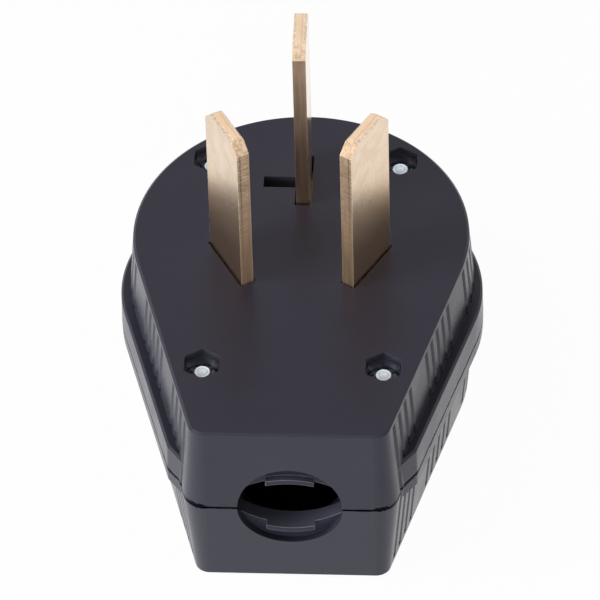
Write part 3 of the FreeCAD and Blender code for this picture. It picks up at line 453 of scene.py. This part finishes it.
blade_brass = bpy.data.materials.new("blade_brass")
tree = emptied(blade_brass)
sides = add(tree, "Group", node_tree=blade_sides).outputs
place, sheared, upright = sides["Place"], sides["Sheared"], sides["Upright"]
height = add(tree, "SeparateXYZ", {0: place}).outputs["Z"]
soft, same = softened(tree, BRASS_EDGE_RADIUS, samples=8)
rubbed_highlight = ramp(tree, same, *RUBBED_BOUNDS)
pores = noise(tree, scaled(tree, place, PORE_SCALE), PORE_SIZE, detail=3.0, rough=0.6)
blotches = noise(tree, place, BLOTCH_SIZE, detail=3.0, rough=0.6)
tears = noise(tree, scaled(tree, place, TEAR_SCALE), TEAR_SIZE, rough=0.6)
wander = swing(tree, place, WANDER_SIZE, TEAR_WANDER)

# A fine line along the ends and cut corners, where the shear bit
top_line = ragged_line(tree, sides["Through"], wander, TOP_LINE, TOP_LINE_BOUNDS)
top_line = maths(tree, "MULTIPLY", top_line, maths(tree, "MULTIPLY", sheared, TOP_LINE_SHARE))
top_line = maths(tree, "MULTIPLY", top_line, maths(tree, "SUBTRACT", 1.0, upright))

# Short cross cracks and a dark torn line down the side blades' upright edges
torn = maths(tree, "MULTIPLY", upright, sides["Side"])
torn = maths(tree, "MULTIPLY", torn, ramp(tree, height, TEAR_LOW, TEAR_HIGH, *TORN_SHARES))
ticks = maths(tree, "MULTIPLY", ramp(tree, tears, *TICK_BOUNDS), torn)
tear_line = ragged_line(tree, sides["Outward"], wander, TEAR_LINE, TEAR_LINE_BOUNDS)
tear_line = maths(tree, "MULTIPLY", tear_line, torn, ramp(tree, tears, *NOISE_BOUNDS, *TEAR_LINE_SHARES))
cracks = maths(tree, "MAXIMUM", maths(tree, "MULTIPLY", ticks, TICK_SHARE), tear_line)

# Long streaks down all upright edges, and pits in the cut corners
streaks = noise(tree, scaled(tree, place, STREAK_SCALE), STREAK_SIZE)
streaks = ramp(tree, streaks, *STREAK_BOUNDS, 0.0, STREAK_SHARE)
streaks = maths(tree, "MULTIPLY", streaks, maths(tree, "MULTIPLY", sheared, upright))
cut = ramp(tree, sides["Upward"], *CUT_BOUNDS)
cut = maths(tree, "MULTIPLY", cut, ramp(tree, sides["Upward"], *TOP_BOUNDS))
pits = ramp(tree, noise(tree, place, PIT_SIZE, detail=4.0, rough=0.7), *PIT_BOUNDS)
pits = maths(tree, "MULTIPLY", pits, cut)

colour = mixed(tree, ramp(tree, blotches, *BLOTCH_BOUNDS), BRASS_PALE, BRASS_DEEP)
# Painted reflection of the dark face: the brass is browner towards the foot, and on the sheared edges.
painted_brown = ramp(tree, height, BROWN_HIGH, BROWN_LOW)
painted_brown = maths(tree, "MAXIMUM", painted_brown, maths(tree, "MULTIPLY", sheared, BROWN_EDGE_SHARE))
colour = mixed(tree, painted_brown, colour, BROWN_PAINTED_REFLECTION)
# Paler along the edges: partly rubbing, partly a painted highlight
colour = mixed(tree, rubbed_highlight, colour, BRASS_RUBBED_HIGHLIGHT)
crack_shade = maths(tree, "MULTIPLY", cracks, CRACK_SHADE)
line_shade = maths(tree, "MULTIPLY", top_line, TOP_LINE_SHADE)
pit_shade = maths(tree, "MULTIPLY", pits, PIT_SHADE)
marks = maths(tree, "MAXIMUM", crack_shade, line_shade, streaks, pit_shade)
colour = mixed(tree, marks, colour, BRASS_TORN)

rough = ramp(tree, height, BROWN_LOW, BROWN_HIGH, *BRASS_ROUGH)
rough = maths(tree, "ADD", rough, ramp(tree, pores, *NOISE_BOUNDS, -PORE_ROUGH, PORE_ROUGH))
side_edge = maths(tree, "MULTIPLY", sheared, sides["Side"])
side_rough = ramp(tree, height, TEAR_LOW, TEAR_HIGH, *TORN_EDGE_ROUGH)
rough = maths(tree, "ADD", rough, maths(tree, "MULTIPLY", side_edge, side_rough))
middle_rough = ramp(tree, height, BROWN_LOW, BROWN_HIGH, *MIDDLE_EDGE_ROUGH)
middle_rough = maths(tree, "MULTIPLY", sheared, middle_rough)
middle_rough = maths(tree, "SUBTRACT", middle_rough, MIDDLE_SMOOTHER)
middle_rough = maths(tree, "MULTIPLY", maths(tree, "SUBTRACT", 1.0, sides["Side"]), middle_rough)
rough = maths(tree, "ADD", rough, middle_rough, maths(tree, "MULTIPLY", rubbed_highlight, RUBBED_ROUGH))

relief = maths(tree, "MAXIMUM", cracks, top_line, maths(tree, "MULTIPLY", pits, PIT_DEPTH_SHARE))
normal = raised(tree, pores, PORE_DEPTH, soft)
normal = raised(tree, blotches, BLOTCH_DEPTH, normal)
normal = raised(tree, relief, -CRACK_DEPTH, normal)
shader = add(tree, "BsdfPrincipled", {
    "Base Color": colour, "Metallic": 1.0, "Roughness": rough, "Normal": normal,
})
add(tree, "OutputMaterial", {"Surface": shader.outputs[0]})
for name in ("left_blade", "right_blade", "neutral_blade"):
    dress(name, blade_brass)


# The terminals
# Steel clamp plates and their screws hold the cord's wires to the blades' feet, inside the shells.
# They are zinc plated, with the dull bloom that thin plating takes on.
ZINC_BRIGHT, ZINC_DULL = (0.92, 0.96, 1.0, 1.0), (0.68, 0.74, 0.81, 1.0)
BLOOM_BOUNDS = (0.35, 0.65)
CRYSTAL_SIZE, CRYSTAL_RELIEF = 0.14 * MM, 0.5
ZINC_EDGE_RADIUS = 0.08 * MM
TERMINAL_ROUGH = (0.22, 0.42)
TERMINAL_PATCH, TERMINAL_RELIEF = 1.2 * MM, 0.015 * MM

# Zinc plating: fine bright crystals, and a bloom that dulls it in patches
zinc_plating, given = new_group("zinc_plating", {"Patch Size": TERMINAL_PATCH, "Relief": TERMINAL_RELIEF})
tree = zinc_plating
place = add(tree, "TexCoord").outputs["Object"]
scale = maths(tree, "DIVIDE", NOISE_WIDTH, given["Patch Size"])
bloom = add(tree, "TexNoise", {"Vector": place, "Scale": scale, "Detail": 3.0}).outputs[0]
crystals = noise(tree, place, CRYSTAL_SIZE, detail=3.0, rough=0.6)
soft = add(tree, "Bevel", {"Radius": ZINC_EDGE_RADIUS}, samples=4).outputs[0]
relief = maths(tree, "ADD", bloom, maths(tree, "MULTIPLY", crystals, CRYSTAL_RELIEF))
put_out(
    zinc_plating, Color=mixed(tree, ramp(tree, bloom, *BLOOM_BOUNDS), ZINC_BRIGHT, ZINC_DULL), Bloom=bloom,
    Normal=raised(tree, relief, given["Relief"], soft),
)


def zinc_finish(name, rough, patch_size, relief, other=None, cover=None):
    """Zinc plated steel with a pair of roughnesses: where it is bright, and where the bloom is on it.

    Cover makes, in the material's tree, the mask of where it has the other colour."""
    finish = bpy.data.materials.new(name)
    tree = emptied(finish)
    zinc = add(tree, "Group", {"Patch Size": patch_size, "Relief": relief}, node_tree=zinc_plating).outputs
    shader = add(tree, "BsdfPrincipled", {
        "Base Color": mixed(tree, cover(tree), zinc["Color"], other) if cover else zinc["Color"],
        "Metallic": 1.0, "Roughness": ramp(tree, zinc["Bloom"], *NOISE_BOUNDS, *rough),
        "Normal": zinc["Normal"],
    })
    add(tree, "OutputMaterial", {"Surface": shader.outputs[0]})
    return finish


terminal_steel = zinc_finish("terminal_steel", TERMINAL_ROUGH, TERMINAL_PATCH, TERMINAL_RELIEF)
for side in ("left", "right", "neutral"):
    dress(side + "_wire_clamp", terminal_steel)
    dress(side + "_terminal_screw", terminal_steel)


# The housing screws
# Four long zinc plated machine screws hold the shells together. Each has a round head with a cross
# recess at the back, a rolled thread of half a millimetre's pitch, and a bevelled, slightly hollow tip.
SCREW_NAMES = ("near_left", "near_right", "far_left", "far_right")
SCREW_RADIUS = 1.5 * MM
THREAD_PITCH, THREAD_DEPTH, THREAD_LENGTH = 0.5 * MM, 0.25 * MM, 14.0 * MM
VALLEY_SHARE = 0.42
TURN_STEPS = 36
STEPS_PER_PITCH = 6
HEAD_HEIGHT, HEAD_BEVEL = 2.0 * MM, 0.1 * MM
# The rounded top of the head: shares of its radius, and how far down they are
HEAD_DOME = ((0.72, 0.0), (0.9, 0.22 * MM), (1.0, 0.75 * MM))
# The tip from the thread to the middle of its hollow: radii, and how far from the end they are
TIP_BEVEL, TIP_LAND = 0.16 * MM, 0.1 * MM
TIP_PROFILE = (
    (SCREW_RADIUS - 0.08 * MM, TIP_BEVEL), (SCREW_RADIUS - TIP_BEVEL, 0.0),
    (SCREW_RADIUS - TIP_BEVEL - TIP_LAND, 0.02 * MM), (0.55 * MM, 0.12 * MM), (0.2 * MM, 0.14 * MM),
)
RECESS_LENGTH, RECESS_WIDTH, RECESS_DEPTH = 3.2 * MM, 0.8 * MM, 1.1 * MM
RECESS_FLOOR = (0.62, 0.8)
SHARP_ANGLE = math.radians(38)
SCREW_DULL = (0.55, 0.62, 0.70, 1.0)
DULL_SIZE, DULL_BOUNDS, DULL_SHARES = 0.3 * MM, (0.25, 0.6), (0.45, 1.0)
RIM_START, RIM_SOFT = 1.12 * MM, 0.12 * MM
HOLLOW_BOUNDS, HOLLOW_SHARES = (0.5 * MM, 0.85 * MM), (0.35, 1.0)
SCREW_ROUGH = (0.38, 0.56)
SCREW_PATCH, SCREW_RELIEF = 0.45 * MM, 0.03 * MM


def turned(forms, rings, steps):
    """Adds a closed turned form. Each ring gives a radius and a height for an angle."""
    angles = [math.tau * step / steps for step in range(steps)]
    rows = []
    for ring in rings:
        sizes = [ring(angle) for angle in angles]
        rows.append([
            forms.verts.new((size * math.cos(angle), size * math.sin(angle), height))
            for angle, (size, height) in zip(angles, sizes)
        ])
    for lower, upper in zip(rows, rows[1:]):
        for step in range(steps):
            after = (step + 1) % steps
            forms.faces.new((lower[step], lower[after], upper[after], upper[step]))
    return rows


def finished(name, forms, box, solid, material):
    """Makes a piece from its forms, where the plain solid that it stands for has its box."""
    bmesh.ops.recalc_face_normals(forms, faces=forms.faces)
    mesh = bpy.data.meshes.new(name)
    forms.to_mesh(mesh)
    forms.free()
    mesh.shade_smooth()
    mesh.set_sharp_from_angle(angle=SHARP_ANGLE)
    piece = bpy.data.objects.new(name, mesh)
    low, high = box
    piece.location = ((low[0] + high[0]) / 2, (low[1] + high[1]) / 2, low[2])
    bpy.context.scene.collection.objects.link(piece)
    mesh.materials.append(material)
    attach(piece, "root")
    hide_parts(solid)


def plain_ring(size, height):
    """A round ring."""
    return lambda angle: (size, height)


def thread_ring(height, fade):
    """A ring through the thread. Fade goes from 0, where the shank is plain, to 1."""
    def ring(angle):
        turn = (height / THREAD_PITCH - angle / math.tau) % 1.0
        valley = max(0.0, 1.0 - abs(turn - 0.5) / VALLEY_SHARE)
        return SCREW_RADIUS - THREAD_DEPTH * fade * valley, height
    return ring


def screw_rings(head_radius, long):
    """The rings of a screw, from the top of its head to the hollow in its tip."""
    rings = [plain_ring(head_radius * share, height) for share, height in HEAD_DOME]
    rings += [
        plain_ring(head_radius, HEAD_HEIGHT - HEAD_BEVEL),
        plain_ring(head_radius - HEAD_BEVEL, HEAD_HEIGHT),
        plain_ring(SCREW_RADIUS, HEAD_HEIGHT),
        plain_ring(SCREW_RADIUS, long - THREAD_LENGTH - THREAD_PITCH),
    ]
    count = int((THREAD_LENGTH - TIP_BEVEL) / THREAD_PITCH * STEPS_PER_PITCH)
    for step in range(count):
        height = long - THREAD_LENGTH + (THREAD_LENGTH - TIP_BEVEL) * step / count
        rings.append(thread_ring(height, min(1.0, step / STEPS_PER_PITCH)))
    return rings + [plain_ring(size, long - drop) for size, drop in TIP_PROFILE]


def sink_recess(forms, top):
    """Sinks the cross recess inside the head's top ring. It narrows down to its floor, like the driver."""
    arm, half = RECESS_LENGTH / 2, RECESS_WIDTH / 2
    cross = [(arm, -half), (arm, half), (half, half), (half, arm), (-half, arm), (-half, half),
             (-arm, half), (-arm, -half), (-half, -half), (-half, -arm), (half, -arm), (half, -half)]
    mouth = [forms.verts.new((x, y, 0.0)) for x, y in cross]
    bottom = [forms.verts.new((x * RECESS_FLOOR[0], y * RECESS_FLOOR[1], RECESS_DEPTH)) for x, y in cross]
    for step in range(len(cross)):
        after = (step + 1) % len(cross)
        forms.faces.new((mouth[step], mouth[after], bottom[after], bottom[step]))
    forms.faces.new(bottom)
    rim = [forms.edges.get((top[step], top[step - 1])) for step in range(len(top))]
    lips = [forms.edges.get((mouth[step], mouth[step - 1])) for step in range(len(mouth))]
    bmesh.ops.triangle_fill(forms, use_beauty=True, edges=rim + lips)


def dulled_middle(tree):
    """The mask of a screw's end inside its bright rim."""
    place = add(tree, "TexCoord").outputs["Object"]
    spot = add(tree, "SeparateXYZ", {0: place}).outputs
    flat = add(tree, "CombineXYZ", {"X": spot["X"], "Y": spot["Y"]}).outputs[0]
    from_axis = add(tree, "VectorMath", {0: flat}, operation="LENGTH").outputs["Value"]
    patchy = ramp(tree, noise(tree, place, DULL_SIZE, detail=3.0, rough=0.7), *DULL_BOUNDS, *DULL_SHARES)
    inside_rim = ramp(tree, from_axis, RIM_START, RIM_START - RIM_SOFT)
    round_hollow = ramp(tree, from_axis, *HOLLOW_BOUNDS, *HOLLOW_SHARES)
    return maths(tree, "MULTIPLY", inside_rim, round_hollow, patchy)


screw_zinc = zinc_finish("screw_zinc", SCREW_ROUGH, SCREW_PATCH, SCREW_RELIEF, SCREW_DULL, dulled_middle)
for spot in SCREW_NAMES:
    low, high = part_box(spot + "_housing_screw")
    forms = bmesh.new()
    rows = turned(forms, screw_rings((high[0] - low[0]) / 2, high[2] - low[2]), TURN_STEPS)
    forms.faces.new(rows[-1])
    sink_recess(forms, rows[0])
    finished(spot + "_threaded_screw", forms, (low, high), spot + "_housing_screw", screw_zinc)


# The nuts
# Four steel nuts lie in hexagonal pockets of the face. Their corners are turned off at both ends,
# and each is darkened in patches by painted shade, for the shade of its pocket.
NUT_FLATS = 5.5 * MM
NUT_BORE, BORE_FLARE = 1.54 * MM, 0.18 * MM
NUT_CROWN = 2.6 * MM
CROWN_SLOPE = math.tan(math.radians(30))
NUT_STEPS = 96
SIXTH_TURN = math.radians(60)
TWELFTH_TURN = math.radians(30)
SAME_POINT = 0.0001 * MM
NUT_PAINTED_SHADE = (0.20, 0.20, 0.23, 1.0)
SPECK_SIZE, SHADE_PATCH_BOUNDS = 0.45 * MM, (0.60, 0.50)
NUT_ROUGH = (0.2, 0.42)
NUT_PATCH, NUT_RELIEF = 0.6 * MM, 0.05 * MM


def painted_shade_patches(tree):
    """The mask of the painted shade on a nut, with a few unshaded specks left in it."""
    place = add(tree, "TexCoord").outputs["Object"]
    return ramp(tree, noise(tree, place, SPECK_SIZE, detail=3.0, rough=0.6), *SHADE_PATCH_BOUNDS)


def hexagon(angle):
    """How far a nut's side is from its middle, with two of its corners along Y."""
    return NUT_FLATS / 2 / math.cos((angle + TWELFTH_TURN) % SIXTH_TURN - TWELFTH_TURN)


def corner_drop(angle):
    """How much of a nut's end is turned off at its side."""
    return max(0.0, hexagon(angle) - NUT_CROWN) * CROWN_SLOPE


def nut_rings(thick):
    """The rings of a nut: up its bore, out over its top, down its sides and back under it."""
    return [
        plain_ring(NUT_BORE, BORE_FLARE), plain_ring(NUT_BORE, thick - BORE_FLARE),
        plain_ring(NUT_BORE + BORE_FLARE, thick), plain_ring(NUT_CROWN, thick),
        lambda angle: (hexagon(angle), thick - corner_drop(angle)),
        lambda angle: (hexagon(angle), corner_drop(angle)),
        plain_ring(NUT_CROWN, 0.0), plain_ring(NUT_BORE + BORE_FLARE, 0.0),
        plain_ring(NUT_BORE, BORE_FLARE),
    ]


# Painted shade darkens the nuts' zinc in patches.
nut_zinc = zinc_finish("nut_zinc", NUT_ROUGH, NUT_PATCH, NUT_RELIEF, NUT_PAINTED_SHADE, painted_shade_patches)
for spot in SCREW_NAMES:
    low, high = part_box(spot + "_nut")
    forms = bmesh.new()
    turned(forms, nut_rings(high[2] - low[2]), NUT_STEPS)
    bmesh.ops.remove_doubles(forms, verts=forms.verts, dist=SAME_POINT)
    finished(spot + "_turned_nut", forms, (low, high), spot + "_nut", nut_zinc)
